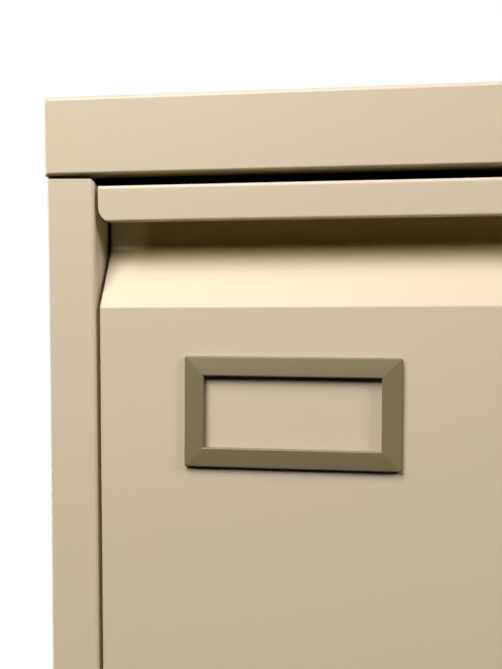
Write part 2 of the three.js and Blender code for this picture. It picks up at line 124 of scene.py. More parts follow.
class Finish:
    """One material under construction, with a Principled shader."""

    def __init__(self, name, **plain):
        self.material = bpy.data.materials.new(name)
        self.material.use_nodes = True
        self.tree = self.material.node_tree
        self.shader = self.tree.nodes["Principled BSDF"]
        for label, value in plain.items():
            self.shader.inputs[label.replace("_", " ")].default_value = value

    def node(self, kind, settings, values, output=0):
        """Adds a node: its settings first, then the values or links of its sockets."""
        made = self.tree.nodes.new(kind)
        for setting, value in settings.items():
            if setting == "stops":
                self._stops(made.color_ramp, value)
            else:
                setattr(made, setting, value)
        for label, value in values.items():
            self.plug(made.inputs[label], value)
        return Signal(self, made.outputs[output])

    def _stops(self, ramp, stops):
        while len(ramp.elements) < len(stops):
            ramp.elements.new(1)
        for element, (place, colour) in zip(ramp.elements, stops):
            element.position = place
            element.color = (*colour, 1)

    def plug(self, target, value):
        if isinstance(value, Signal):
            self.tree.links.new(value.socket, target)
        elif hasattr(value, "__len__") and len(value) == 3 and target.type == "RGBA":
            target.default_value = (*value, 1)
        else:
            target.default_value = value

    def feed(self, **values):
        """Links or sets the Principled shader's own sockets."""
        for label, value in values.items():
            self.plug(self.shader.inputs[label.replace("_", " ")], value)

    def place(self):
        """Where a point is on the piece, in metres."""
        return self.node("ShaderNodeTexCoord", {}, {}, output="Object")

    def stretched(self, scale):
        """The same place with each axis scaled, for grain that runs one way."""
        return self.node("ShaderNodeVectorMath", {"operation": "MULTIPLY"},
                         {0: self.place(), 1: scale})

    def rise(self, axis, start, end, what="Object"):
        """A soft step from 0 to 1 along an axis, by the place, or by the Normal."""
        where = self.node("ShaderNodeTexCoord", {}, {}, output=what)
        along = self.node("ShaderNodeSeparateXYZ", {}, {0: where}, output=axis)
        return self.node("ShaderNodeMapRange", {"interpolation_type": "SMOOTHSTEP"},
                         {"Value": along, "From Min": start, "From Max": end})

    def noise(self, per_metre, detail=2.0, rough=0.5, where=None):
        return self.node("ShaderNodeTexNoise", {"noise_dimensions": "3D"}, {
            "Vector": where or self.place(),
            "Scale": per_metre, "Detail": detail, "Roughness": rough})

    def blend(self, amount, first, second, kind="MIX"):
        """A colour between two colours, or their product."""
        mixer = self.tree.nodes.new("ShaderNodeMix")
        mixer.data_type = "RGBA"
        mixer.blend_type = kind
        self.plug(mixer.inputs[0], amount)
        self.plug(mixer.inputs[6], first)
        self.plug(mixer.inputs[7], second)
        return Signal(self, mixer.outputs[2])

    def bumps(self, height, depth, strength):
        """A Bump node: height from 0 to 1 stands for depth metres."""
        return self.node("ShaderNodeBump", {}, {
            "Height": height, "Strength": strength, "Distance": depth})


print("shader helpers ready")

# %% [markdown]
# ## Cream powder coat
# Powder coat is melted on in an oven. It pulls into a fine orange peel of waves about a millimetre
# and a half across, with a finer grain on top, and its colour wanders a little from place to
# place. Both waves go into the bump, and slow noise shifts the colour and the gloss by a few per cent.
# Under the cap the hollows are darkened with painted shade: an Ambient Occlusion node finds them and turns
# the cream olive there.
# The finger recess of a drawer front gets painted shade too: ochre with depth, and umber at both ends.
# Moving parts get that by place only, because a drawer carries its colours along when it opens.
# Everything else has an even coat.

# %% Mix the powder coat
CREAM = (0.67, 0.563, 0.412)
CREAM_SHADE = (0.645, 0.538, 0.388)
PAINTED_SHADE_REACH = 24 * MM      # how far the AO looks for hollows to fill with painted shade
UNSHADED = (1, 1, 1)      # what the cream is multiplied by where there is no painted shade
RECESS_SHADE_OCHRE = (0.88, 0.85, 0.45)
RECESS_END_SHADE_UMBER = (0.38, 0.35, 0.16)
PAINTED_SHADE_OLIVE = (0.42, 0.4, 0.17)
RECESS_END_SHADE_REACH = 36 * MM    # how far the painted shade at the ends of a recess reaches in
RECESS_SHADE_START = 14 * MM  # behind the lip's face, where the painted ochre shade starts


def powder_coat(name, hollow_shade=False, recess=None):
    """The coat, with painted shade in its hollows if asked. A recess is two places along Y: where its painted
    ochre shade starts, and where it is full.
    """
    coat = Finish(name, IOR=1.5, Metallic=0.0)
    drift = coat.noise(3.0, detail=3.0)
    mottle = coat.noise(260.0, detail=2.0)
    peel = coat.noise(620.0, detail=1.0)
    grain = coat.noise(2600.0, detail=1.0)
    tone = drift * 0.7 + mottle * 0.3
    colour = coat.blend(tone, CREAM_SHADE, CREAM)
    if hollow_shade:
        # Painted shade: Ambient Occlusion darkens narrow hollows, such as the header's underside, towards
        # olive.
        openness = coat.node("ShaderNodeAmbientOcclusion", {"samples": 8}, {"Distance": PAINTED_SHADE_REACH},
                             output="AO")
        painted_shade = coat.node("ShaderNodeValToRGB", {"stops": [(0.35, PAINTED_SHADE_OLIVE), (0.72, UNSHADED)]}, {"Fac": openness})
        colour = coat.blend(1.0, colour, painted_shade, kind="MULTIPLY")
    if recess:
        # Painted shade: the finger recess darkens to ochre with depth behind the lip, and to umber near both
        # ends.
        deep = coat.rise("Y", recess[0], recess[1]) * coat.rise("Y", -0.5, -0.8, what="Normal")
        end = coat.rise("X", front_low.x + RECESS_END_SHADE_REACH, front_low.x) + coat.rise(
            "X", front_high.x - RECESS_END_SHADE_REACH, front_high.x)
        recess_shade_tint = coat.blend(end, RECESS_SHADE_OCHRE, RECESS_END_SHADE_UMBER)
        colour = coat.blend(deep, colour, coat.blend(1.0, colour, recess_shade_tint, kind="MULTIPLY"))
    coat.feed(
        Base_Color=colour,
        Roughness=drift * 0.1 + mottle * 0.08 + 0.34,
        Normal=coat.bumps(peel * 0.75 + grain * 0.25, 0.03 * MM, strength=0.55),
    )
    return coat.material


cream = powder_coat("cream_powder_coat")
# The cap's coat carries painted shade in its hollows, and the fronts' coat carries painted shade in the
# finger recess.
cap_cream_painted_shade = powder_coat("cream_powder_coat_cap_painted_shade", hollow_shade=True)
front_cream_painted_shade = powder_coat("cream_powder_coat_fronts_painted_shade",
                          recess=(front_low.y + RECESS_SHADE_START, front_high.y - 1 * MM))
print("mixed", cream.name, "in three versions")

# %% [markdown]
# ## Khaki plastic, zinc, nickel and nylon
# The label frames are moulded plastic with a faint grain from the tool. The slides are zinc-plated
# steel: the plating has a cloudy, cool sheen and fine drawing lines along its length. The lock is
# bright nickel with hairline scratches, and the glides are black nylon, scuffed on the floor side.

# %% Mix the other finishes
KHAKI = (0.205, 0.165, 0.088)
KHAKI_LIGHT = (0.225, 0.182, 0.1)
ZINC = (0.7, 0.71, 0.72)
ZINC_DARK = (0.58, 0.6, 0.61)
NICKEL = (0.8, 0.77, 0.71)
NICKEL_SMEARED = (0.72, 0.69, 0.63)
NYLON = (0.012, 0.012, 0.012)
NYLON_SCUFFED = (0.035, 0.034, 0.032)


def khaki_plastic():
    plastic = Finish("khaki_plastic", IOR=1.49)
    cloud = plastic.noise(40.0, detail=2.0)
    grain = plastic.noise(3200.0, detail=2.0)
    plastic.feed(
        Base_Color=plastic.blend(cloud, KHAKI, KHAKI_LIGHT),
        Roughness=grain * 0.1 + 0.36,
        Normal=plastic.bumps(grain, 0.012 * MM, strength=0.5),
    )
    return plastic.material


def zinc_plate():
    zinc = Finish("zinc_plate", Metallic=1.0)
    clouds = zinc.noise(55.0, detail=4.0, rough=0.6)
    lines = zinc.noise(1.0, detail=3.0, where=zinc.stretched((2500.0, 30.0, 2500.0)))
    zinc.feed(
        Base_Color=zinc.blend(clouds, ZINC_DARK, ZINC),
        Roughness=clouds * 0.15 + lines * 0.12 + 0.36,
        Normal=zinc.bumps(lines, 0.008 * MM, strength=0.5),
    )
    return zinc.material


def bright_nickel():
    nickel = Finish("bright_nickel", Metallic=1.0, Base_Color=(*NICKEL, 1))
    smear = nickel.noise(300.0, detail=3.0)
    scratches = nickel.noise(1.0, detail=2.0, where=nickel.stretched((500.0, 500.0, 6000.0)))
    nickel.feed(
        Base_Color=nickel.blend(smear, NICKEL_SMEARED, NICKEL),
        Roughness=smear * 0.1 + scratches * 0.12 + 0.3,
        Normal=nickel.bumps(scratches, 0.003 * MM, strength=0.4),
    )
    return nickel.material


def black_nylon():
    nylon = Finish("black_nylon", IOR=1.53)
    scuff = nylon.noise(400.0, detail=4.0)
    nylon.feed(
        Base_Color=nylon.blend(scuff, NYLON, NYLON_SCUFFED),
        Roughness=scuff * 0.25 + 0.4,
        Normal=nylon.bumps(scuff, 0.02 * MM, strength=0.5),
    )
    return nylon.material


khaki = khaki_plastic()
zinc = zinc_plate()
nickel = bright_nickel()
nylon = black_nylon()
finish_of_slot = {
    "cream_coat": cream,
    "label_plastic": khaki,
    "zinc_steel": zinc,
    "lock_nickel": nickel,
    "glide_nylon": nylon,
}
print("finishes:", sorted(finish_of_slot))

# %% [markdown]
# ## Give every part from the frame its finish
# The record says which finish each part has. The parts that stay as they are get that finish and a
# thin bevel, because no real edge is perfectly sharp: the small round catches the light. Shading
# would then smear from each round onto the flat beside it, so a Weighted Normal modifier
# follows: it lets the large faces decide, and flats look flat.

# %% Finish the frame's own parts
slot_of_node = {row["node"]: row["material_slot"] for row in frame["record"]["subparts"]}


def round_edges(obj, width, segments=2):
    bevel = obj.modifiers.new("rounded edges", "BEVEL")
    bevel.width = width
    bevel.segments = segments
    bevel.limit_method = "ANGLE"
    bevel.angle_limit = math.radians(50)


def keep_flats_flat(obj, sharp):
    obj.data.shade_smooth()
    obj.data.set_sharp_from_angle(angle=math.radians(sharp))
    flatten = obj.modifiers.new("flat faces", "WEIGHTED_NORMAL")
    flatten.keep_sharp = True


for name, part in nodes.items():
    part.data.materials.clear()
    part.data.materials.append(finish_of_slot[slot_of_node[name]])
    round_edges(part, 0.15 * MM)
    keep_flats_flat(part, sharp=48)
print("finished", len(nodes), "parts")

# %% [markdown]
# ## Folding sheet metal
# Most of this cabinet is one trick: flat sheet, folded. A fold is a path through the middle of the
# sheet, with an arc at each bend. Rows of points follow the path, each row runs across the piece,
# and a Solidify modifier gives the skin its thickness. This way every bend is truly round, and a
# row can be made shorter where a corner is rounded off.

# %% Paths with round bends
ARC_STEPS = 8


def bent_path(points):
    """Points are (u, v) or (u, v, bend radius). Gives points with an arc at each bend."""
    path = []
    for index, point in enumerate(points):
        here = Vector(point[:2])
        if len(point) == 2:
            path.append(here)
            continue
        before = (Vector(points[index - 1][:2]) - here).normalized()
        after = (Vector(points[index + 1][:2]) - here).normalized()
        half_angle = before.angle(after) / 2
        centre = here + (before + after).normalized() * (point[2] / math.sin(half_angle))
        start = here + before * (point[2] / math.tan(half_angle))
        turn = math.pi - 2 * half_angle
        sense = 1 if before.cross(after) < 0 else -1
        for step in range(ARC_STEPS + 1):
            spoke = start - centre
            spoke.rotate(Matrix.Rotation(sense * turn * step / ARC_STEPS, 2))
            path.append(centre + spoke)
    return path


def finer(path, spacing, wanted):
    """Adds points along the stretches whose two ends are both wanted."""
    result = [path[0]]
    for start, end in zip(path, path[1:]):
        pieces = 1
        if wanted(start) and wanted(end):
            pieces = max(1, math.ceil((end - start).length / spacing))
        result += [start.lerp(end, step / pieces) for step in range(1, pieces + 1)]
    return result


# %% Skins, and settling a finished piece
def new_object(name, mesh):
    obj = bpy.data.objects.new(name, mesh)
    bpy.context.collection.objects.link(obj)
    return obj


def tidy(obj, merge=1e-6):
    shape = bmesh.new()
    shape.from_mesh(obj.data)
    bmesh.ops.remove_doubles(shape, verts=shape.verts, dist=merge)
    bmesh.ops.dissolve_degenerate(shape, edges=shape.edges, dist=merge)
    bmesh.ops.recalc_face_normals(shape, faces=shape.faces)
    shape.to_mesh(obj.data)
    shape.free()


def apply_modifiers(obj):
    graph = bpy.context.evaluated_depsgraph_get()
    applied = bpy.data.meshes.new_from_object(obj.evaluated_get(graph))
    obj.modifiers.clear()
    obj.data = applied


def settle(obj, body, node=None, slot="cream_coat", finish=None, edge=0.12 * MM, sharp=50):
    """Applies the modifiers, rounds the cut edges, keeps flats flat, and puts the piece on its body."""
    if edge:
        round_edges(obj, edge)
    apply_modifiers(obj)
    tidy(obj)
    keep_flats_flat(obj, sharp)
    apply_modifiers(obj)
    obj.data.materials.clear()
    obj.data.materials.append(finish or finish_of_slot[slot])
    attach(obj, body)
    if node:
        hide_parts(node)
    return obj


def skin_mesh(name, rows):
    """Joins rows of points with faces, row to row."""
    width = len(rows[0])
    faces = []
    for r in range(len(rows) - 1):
        for c in range(width - 1):
            corner = r * width + c
            faces.append((corner, corner + 1, corner + width + 1, corner + width))
    mesh = bpy.data.meshes.new(name)
    mesh.from_pydata([tuple(p) for row in rows for p in row], [], faces)
    return mesh


def sheet(name, rows, thickness, body, **more):
    """A piece of sheet metal through rows of points in its middle."""
    obj = new_object(name, skin_mesh(name, rows))
    tidy(obj)
    thicken = obj.modifiers.new("sheet", "SOLIDIFY")
    thicken.thickness = thickness
    thicken.offset = 0
    thicken.use_even_offset = True
    return settle(obj, body, **more)


print("folding helpers ready")

# %% [markdown]
# ## The top cap
# The cap is a shallow lid: a top, a header strip at the front, and skirts round the other sides. Its
# corners are welded and ground round, so rings of a rounded rectangle are stacked, each a little
# further in as the bend turns from the skirt into the top. The header's lower edge is folded
# back in its own bend, which stops short of the side panels.

# %% Fold the top cap
SHEET = 0.8 * MM
CAP_BEND = 1.8 * MM
CAP_CORNER = 2.6 * MM
CORNER_STEPS = 5
HEADER_BEND = 1.5 * MM
HEADER_RETURN = 16 * MM


def rounded_rectangle(low, high, radius, steps=CORNER_STEPS):
    """Corner points, anticlockwise from the front right corner, in (x, y)."""
    centres = [(high.x - radius, low.y + radius, -90), (high.x - radius, high.y - radius, 0),
               (low.x + radius, high.y - radius, 90), (low.x + radius, low.y + radius, 180)]
    loop = []
    for x, y, start in centres:
        for step in range(steps + 1):
            angle = math.radians(start + 90 * step / steps)
            loop.append(Vector((x + radius * math.cos(angle), y + radius * math.sin(angle))))
    return loop


def cap_mesh():
    half = SHEET / 2
    low = Vector((cap_low.x + half, cap_low.y + half))
    high = Vector((cap_high.x - half, cap_high.y - half))
    shape = bmesh.new()
    levels = [(0, cap_low.z), (0, cap_low.z + HEADER_BEND)]
    for step in range(ARC_STEPS + 1):
        angle = math.radians(90 * step / ARC_STEPS)
        levels.append((CAP_BEND * (1 - math.cos(angle)),
                       cap_high.z - half - CAP_BEND + CAP_BEND * math.sin(angle)))
    rings = []
    for inset, z in levels:
        margin = Vector((inset, inset))
        loop = rounded_rectangle(low + margin, high - margin, CAP_CORNER - inset)
        rings.append([shape.verts.new((p.x, p.y, z)) for p in loop])
    count = len(rings[0])
    front_run = list(range(count - CORNER_STEPS - 1, count)) + list(range(CORNER_STEPS + 1))
    for number, (lower, upper) in enumerate(zip(rings, rings[1:])):
        for c in range(count):
            beside = (c + 1) % count
            if number == 0 and c in front_run[:-1]:
                continue    # here the header turns under instead
            shape.faces.new((lower[c], lower[beside], upper[beside], upper[c]))
    shape.faces.new(rings[-1])
    roll_header_under(shape, [rings[1][c] for c in front_run], low.y)
    mesh = bpy.data.meshes.new("top_cap_sheet")
    shape.to_mesh(mesh)
    shape.free()
    return mesh


def roll_header_under(shape, run, front_y):
    """Rolls the header's lower edge inwards. The roll fades out round each corner."""
    previous = run
    for step in range(1, ARC_STEPS + 1):
        angle = math.radians(90 * step / ARC_STEPS)
        ring = []
        for vert in run:
            fade = max(0.0, 1 - (vert.co.y - front_y) / CAP_CORNER)
            inward = HEADER_BEND * (1 - math.cos(angle)) * fade
            drop = (HEADER_BEND - SHEET / 2 * fade) * math.sin(angle)
            ring.append(shape.verts.new((vert.co.x, vert.co.y + inward, vert.co.z - drop)))
        for c in range(len(run) - 1):
            shape.faces.new((previous[c], previous[c + 1], ring[c + 1], ring[c]))
        previous = ring
    ends = [previous[CORNER_STEPS], previous[CORNER_STEPS + 1]]
    back = [shape.verts.new((v.co.x, cap_low.y + HEADER_RETURN, v.co.z)) for v in ends]
    shape.faces.new((ends[0], ends[1], back[1], back[0]))


def make_cap():
    cap = new_object("top_cap_sheet", cap_mesh())
    tidy(cap)
    thicken = cap.modifiers.new("sheet", "SOLIDIFY")
    thicken.thickness = SHEET
    thicken.offset = 0
    return settle(cap, "carcass", "top_cap", finish=cap_cream_painted_shade)


cap = make_cap()
print("cap faces:", len(cap.data.polygons))

# %% [markdown]
# ## The side panels and their stiles
# One sheet makes a whole side: it turns in at the back as a narrow flange, and at the front it wraps
# round into the stile and then back into the cabinet. The stile ends just below the header, with a
# rounded inner corner, while the side itself runs on up inside the cap's skirt. So each column of
# points across the fold gets its own height.

# %% Fold the side panels
STILE_CORNER = 3.2 * MM
STILE_BEND = 1.7 * MM
SEAM = 1.6 * MM
STILE_RETURN = 23 * MM
REAR_FLANGE = 20 * MM
STILE_FOLD = 12 * MM


def side_height(point, face, outer, inner, stile_top, full_top):
    """How high the sheet stands at one place along its fold."""
    on_the_side = abs(point.x - outer) < 1e-6
    if on_the_side or point.y > face + 3 * STILE_RETURN:
        return full_top
    drop = max(0.0, STILE_CORNER - abs(point.x - inner))
    if point.y > face + STILE_BEND:
        drop = STILE_CORNER
    return stile_top - STILE_CORNER + math.sqrt(STILE_CORNER ** 2 - drop ** 2)


def make_side(side, node):
    low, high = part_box(node)
    half = SHEET / 2
    outer = side * (max(abs(low.x), abs(high.x)) - half)
    inner = side * (min(abs(low.x), abs(high.x)) + half)
    face = low.y + half
    rear = high.y - half
    fold_back = low.y + STILE_RETURN - half
    path = bent_path([
        (outer - side * REAR_FLANGE, rear),
        (outer, rear, STILE_BEND),
        (outer, face, STILE_BEND),
        (inner, face, STILE_BEND),
        (inner, fold_back, STILE_BEND),
        (inner + side * STILE_FOLD, fold_back),
    ])
    path = finer(path, 0.4 * MM, lambda p: abs(p.y - face) < 1e-6 and abs(p.x - inner) < 2 * STILE_CORNER)
    stile_top = cap_low.z - SEAM
    tops = [side_height(p, face, outer, inner, stile_top, high.z) for p in path]
    rows = [[(p.x, p.y, z) for p in path] for z in (low.z, (low.z + stile_top) / 2, stile_top - 12 * MM)]
    rows.append([(p.x, p.y, top) for p, top in zip(path, tops)])
    return sheet(f"{node}_sheet", rows, SHEET, "carcass", node=node)


for side, node in ((-1, "left_side_panel"), (1, "right_side_panel")):
    panel = make_side(side, node)
    print(panel.name, "faces:", len(panel.data.polygons))

# %% [markdown]
# ## The drawer fronts
# A front is pressed from one sheet, and its fold runs the whole width: a hem that turns the lip's raw
# edge up behind it, the lip, the shelf over the fingers, the wall behind them, the slope that
# leads down to the face, the face, and a flange under it. The lip's lower corners are rounded off,
# and below the recess the sides fold back as cheeks.

# %% Fold the drawer fronts
LIP_HEIGHT = 17.2 * MM
LIP_CORNER = 7.2 * MM
HEM = 10 * MM
HEM_WIDTH = 2.4 * MM
RECESS_WALL_END = 28.4 * MM
LEDGE = 57 * MM
FLANGE = 16 * MM
HEM_BEND = 1.15 * MM
LIP_BEND = 1.3 * MM
SHELF_BEND = 1.5 * MM
RECESS_BEND = 5 * MM
SLOPE_BEND = 2.2 * MM
CHEEK_BEND = 1.1 * MM


def front_rows(low, high):
    half = SHEET / 2
    face = low.y + half
    wall = high.y - half
    top = high.z
    bottom = low.z + half
    lip_bottom = top - LIP_HEIGHT + half
    path = bent_path([
        (face + HEM_WIDTH, lip_bottom + HEM),
        (face + HEM_WIDTH, lip_bottom, HEM_BEND),
        (face, lip_bottom, HEM_BEND),
        (face, top - half, LIP_BEND),
        (wall, top - half, SHELF_BEND),
        (wall, top - RECESS_WALL_END, RECESS_BEND),
        (face, top - LEDGE, SLOPE_BEND),
        (face, bottom, SHELF_BEND),
        (low.y + FLANGE, bottom),
    ])
    path = finer(path, 0.6 * MM, lambda p: abs(p.x - face) < 1e-6 and p.y > lip_bottom - 1e-6)
    reach = high.x
    rows = []
    for point in path:
        d, z = point
        end = reach
        cheek = 0.0
        rise = z - (lip_bottom - half)
        on_lip = z > lip_bottom - half - 1e-6
        if on_lip and d > face + HEM_WIDTH / 2 and d < face + 2 * HEM_WIDTH:
            end = reach - LIP_CORNER - 0.6 * MM
        elif on_lip and rise < LIP_CORNER and d < face + 2 * HEM_WIDTH:
            end = reach - LIP_CORNER + math.sqrt(max(0, LIP_CORNER ** 2 - (LIP_CORNER - rise) ** 2))
        elif z < top - RECESS_WALL_END - 1 * MM and d < wall - 0.2 * MM and z > bottom + 1.2 * MM:
            cheek = wall - d
            end = reach - half
        rows.append(front_row(d, z, end, cheek))
    return rows


def front_row(y, z, end, cheek):
    """One row across the front. A cheek longer than its bend folds back at both ends."""
    if cheek > CHEEK_BEND:
        bend = [(end - CHEEK_BEND + CHEEK_BEND * math.sin(a), y + CHEEK_BEND * (1 - math.cos(a)), z)
                for a in (math.radians(90 * s / 5) for s in range(6))]
        wing = bend + [(end, y + cheek, z)]
    else:
        wing = [(end, y, z)] * 7
    return [(-x, yy, zz) for x, yy, zz in reversed(wing)] + [(0, y, z)] + wing


def make_front(number):
    node = f"drawer_{number}_front"
    low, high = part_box(node)
    return sheet(f"{node}_sheet", front_rows(low, high), SHEET, f"drawer_{number}", node=node,
                 finish=front_cream_painted_shade)


DRAWERS = range(1, 5)
for number in DRAWERS:
    front = make_front(number)
print(front.name, "faces:", len(front.data.polygons))

# %% [markdown]
# ## Label frames
# The frame round each label is moulded. Seen in section it is low at its outer edge and rises to the
# window, with a rebate behind it for the card. Stacking rings of that section round a rectangle
# gives the mitred corners for free. Clipped on by hand, no two sit quite level, so each gets
# a small lean of its own.

# %% Mould the label frames
LABEL_BORDER = 9.2 * MM
LABEL_RISE = 1.0 * MM
LABEL_PROUD = 3.6 * MM
LABEL_GAP = 0.03 * MM       # between the frame and the face it is clipped to
CARD_ROOM = 1.5 * MM        # how deep the rebate for the card is
CARD_LEDGE = 1.6 * MM       # how far the rebate reaches outwards
LABEL_LEANS = (0.5, -0.2, 0.3, -0.35)


def label_section(proud):
    """(inset, height) round the frame's section, from the back of its outer edge."""
    inner = LABEL_BORDER
    brow = proud - LABEL_RISE
    return [
        (0, LABEL_GAP), (0, brow - 0.75 * MM), (0.06 * MM, brow - 0.45 * MM),
        (0.22 * MM, brow - 0.2 * MM), (0.48 * MM, brow - 0.05 * MM), (0.8 * MM, brow),
        (inner * 0.5, (brow + proud) / 2 + 0.06 * MM), (inner - 0.8 * MM, proud),
        (inner - 0.4 * MM, proud - 0.06 * MM), (inner - 0.1 * MM, proud - 0.28 * MM),
        (inner, proud - 0.6 * MM), (inner, CARD_ROOM),
        (inner - CARD_LEDGE, CARD_ROOM), (inner - CARD_LEDGE, LABEL_GAP),
    ]


def make_label(number):
    node = f"drawer_{number}_label_frame"
    low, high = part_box(node)
    back = low.y + LABEL_PROUD
    centre = (low + high) / 2
    lean = Matrix.Rotation(math.radians(LABEL_LEANS[number - 1]), 3, "Y")
    rows = []
    for inset, height in label_section(LABEL_PROUD):
        half_x = (high.x - low.x) / 2 - inset
        half_z = (high.z - low.z) / 2 - inset
        corner = max(1.1 * MM - inset * 0.5, 0.12 * MM)
        loop = rounded_rectangle(Vector((-half_x, -half_z)), Vector((half_x, half_z)), corner, 4)
        row = []
        for p in loop + loop[:1]:
            spot = lean @ Vector((p.x, 0, p.y))
            row.append((centre.x + spot.x, back - height, centre.z + spot.z))
        rows.append(row)
    rows.append(rows[0])
    name = f"drawer_{number}_label_moulding"
    label = new_object(name, skin_mesh(name, rows))
    return settle(label, f"drawer_{number}", node, "label_plastic", edge=0)


for number in DRAWERS:
    label = make_label(number)
print(label.name, "faces:", len(label.data.polygons))

# %% [markdown]
# ## Plinth rail and back panel
# Two more folded sheets. The plinth rail closes the front under the last drawer. The back panel would
# drum if it were flat, so its middle is pressed in by a couple of millimetres: rows and columns
# stand close together along the pressed border, and far apart where nothing happens.

# %% Fold the plinth rail
def make_plinth():
    low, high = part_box("plinth_rail")
    half = SHEET / 2
    path = bent_path([
        (high.y, high.z - half),
        (low.y + half, high.z - half, STILE_BEND),
        (low.y + half, low.z + half, STILE_BEND),
        (high.y, low.z + half),
    ])
    rows = [[(low.x, y, z), (0, y, z), (high.x, y, z)] for y, z in path]
    return sheet("plinth_rail_sheet", rows, SHEET, "carcass", node="plinth_rail")


plinth = make_plinth()
print("plinth faces:", len(plinth.data.polygons))

# %% Press the back panel
PRESS_BORDER = 55 * MM
PRESS_SLOPE = 7 * MM
PRESS_DEPTH = 2 * MM


def smooth(amount):
    amount = min(1.0, max(0.0, amount))
    return amount * amount * (3 - 2 * amount)


def pressed_stops(low, high, steps=8):
    """Places from low to high, close together along the two pressed slopes."""
    slope = [PRESS_BORDER + PRESS_SLOPE * step / steps for step in range(steps + 1)]
    return [low] + [low + d for d in slope] + [high - d for d in reversed(slope)] + [high]


def make_back():
    low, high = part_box("back_panel")
    middle = (low.y + high.y) / 2
    rows = []
    for z in pressed_stops(low.z, high.z):
        row = []
        for x in pressed_stops(low.x, high.x):
            from_edge = min(x - low.x, high.x - x, z - low.z, high.z - z)
            press = PRESS_DEPTH * smooth((from_edge - PRESS_BORDER) / PRESS_SLOPE)
            row.append((x, middle - press, z))
        rows.append(row)
    return sheet("back_panel_sheet", rows, SHEET, "carcass", node="back_panel")


back = make_back()
print("back panel faces:", len(back.data.polygons))

# %% [markdown]
# ## Turned pieces
# Screws, glides, the lock and weld marks are all turned: rings of points round an axis, joined ring to
# ring. A ring's radius can also change with the angle, which turns a round recess into a cross for a
# screwdriver or a slot for a key, with the same few lines.

# %% Stack rings into a turned piece
def circle(radius):
    return lambda angle: radius


def cross(arm, waist=0.35):
    """A four-armed star, for a cross recess."""
    return lambda angle: arm * (waist + (1 - waist) * abs(math.cos(2 * angle)) ** 3)


def slot(half_width, half_length):
    """A narrow slot that stands upright."""
    return lambda angle: min(half_width / max(abs(math.cos(angle)), 1e-6),
                             half_length / max(abs(math.sin(angle)), 1e-6))


def turned(shape, rings, centre, along, sides=48, closed=False):
    """Adds a turned piece to a bmesh. Rings are (outline, place along the axis)."""
    axis = Vector(along)
    across = axis.orthogonal().normalized() if abs(axis.y) < 0.5 else Vector((1, 0, 0))
    upwards = axis.cross(across)
    if upwards.z < 0:
        upwards = -upwards
    made = []
    for outline, place in rings:
        ring = []
        for side in range(sides):
            angle = 2 * math.pi * side / sides
            radius = outline(angle)
            spoke = across * (radius * math.cos(angle)) + upwards * (radius * math.sin(angle))
            ring.append(shape.verts.new(centre + axis * place + spoke))
        made.append(ring)
    pairs = list(zip(made, made[1:])) + ([(made[-1], made[0])] if closed else [])
    for lower, upper in pairs:
        for side in range(sides):
            beside = (side + 1) % sides
            shape.faces.new((lower[side], lower[beside], upper[beside], upper[side]))
    if not closed:
        shape.faces.new(made[0])
        shape.faces.new(made[-1])


def from_shape(name, shape, body, **more):
    mesh = bpy.data.meshes.new(name)
    bmesh.ops.recalc_face_normals(shape, faces=shape.faces)
    shape.to_mesh(mesh)
    shape.free()
    return settle(new_object(name, mesh), body, **more)


# %% Spot welds along the back flanges
WELD_RADIUS = 3 * MM
WELD_DEPTH = 0.25 * MM
WELD_SINK = 0.02 * MM       # how far the rim of a weld stands off the sheet
FIRST_WELD = 30 * MM
WELD_MARGINS = 90 * MM      # both ends of the flange together
WELDS = 15


def make_welds():
    shape = bmesh.new()
    low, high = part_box("left_side_panel")
    x = abs(low.x) - REAR_FLANGE * 0.55
    profile = [(circle(WELD_RADIUS), -WELD_SINK),
               (circle(WELD_RADIUS * 0.85), WELD_DEPTH * 0.6), (circle(WELD_RADIUS * 0.6), WELD_DEPTH),
               (circle(WELD_RADIUS * 0.45), WELD_DEPTH * 0.4), (circle(WELD_RADIUS * 0.1), WELD_DEPTH * 0.15)]
    for side in (-1, 1):
        for number in range(WELDS):
            z = low.z + FIRST_WELD + (high.z - low.z - WELD_MARGINS) * number / (WELDS - 1)
            turned(shape, profile, Vector((side * x, high.y, z)), (0, 1, 0), sides=20)
    return from_shape("back_spot_welds", shape, "carcass", edge=0)


welds = make_welds()
print("weld marks:", 2 * WELDS)

# %% Mould the glides
def make_glide(name):
    low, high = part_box(name)
    centre = Vector(((low.x + high.x) / 2, (low.y + high.y) / 2, 0))
    foot = (high.x - low.x) / 2
    profile = [(0.1, 0.0), (foot / MM - 2.2, 0.0), (foot / MM - 1.2, 0.25), (foot / MM - 0.4, 1.0),
               (foot / MM, 2.2), (foot / MM, 4.6), (foot / MM - 0.5, 5.4), (foot / MM - 3, 7.5),
               (4, 7.7), (4, high.z / MM - 0.6), (3.4, high.z / MM), (0.1, high.z / MM)]
    shape = bmesh.new()
    turned(shape, [(circle(r * MM), z * MM) for r, z in profile], centre, (0, 0, 1))
    return from_shape(f"{name}_moulding", shape, "carcass", node=name, slot="glide_nylon", edge=0)


for place in ("front_left", "front_right", "rear_left", "rear_right"):
    glide = make_glide(f"{place}_glide")
print("glide faces:", len(glide.data.polygons))

# %% Turn the lock
LOCK_SIDES = 96
COLLAR_FLANGE = 2.5 * MM    # how far the collar stands out round its tube
COLLAR_SEAT = 1.7 * MM      # how thick the collar is in front of the header
PLUG_PLAY = 0.3 * MM
PLUG_LENGTH = 26.6 * MM
KEYWAY_DEPTH = 10 * MM
TAIL_RADIUS = 3 * MM


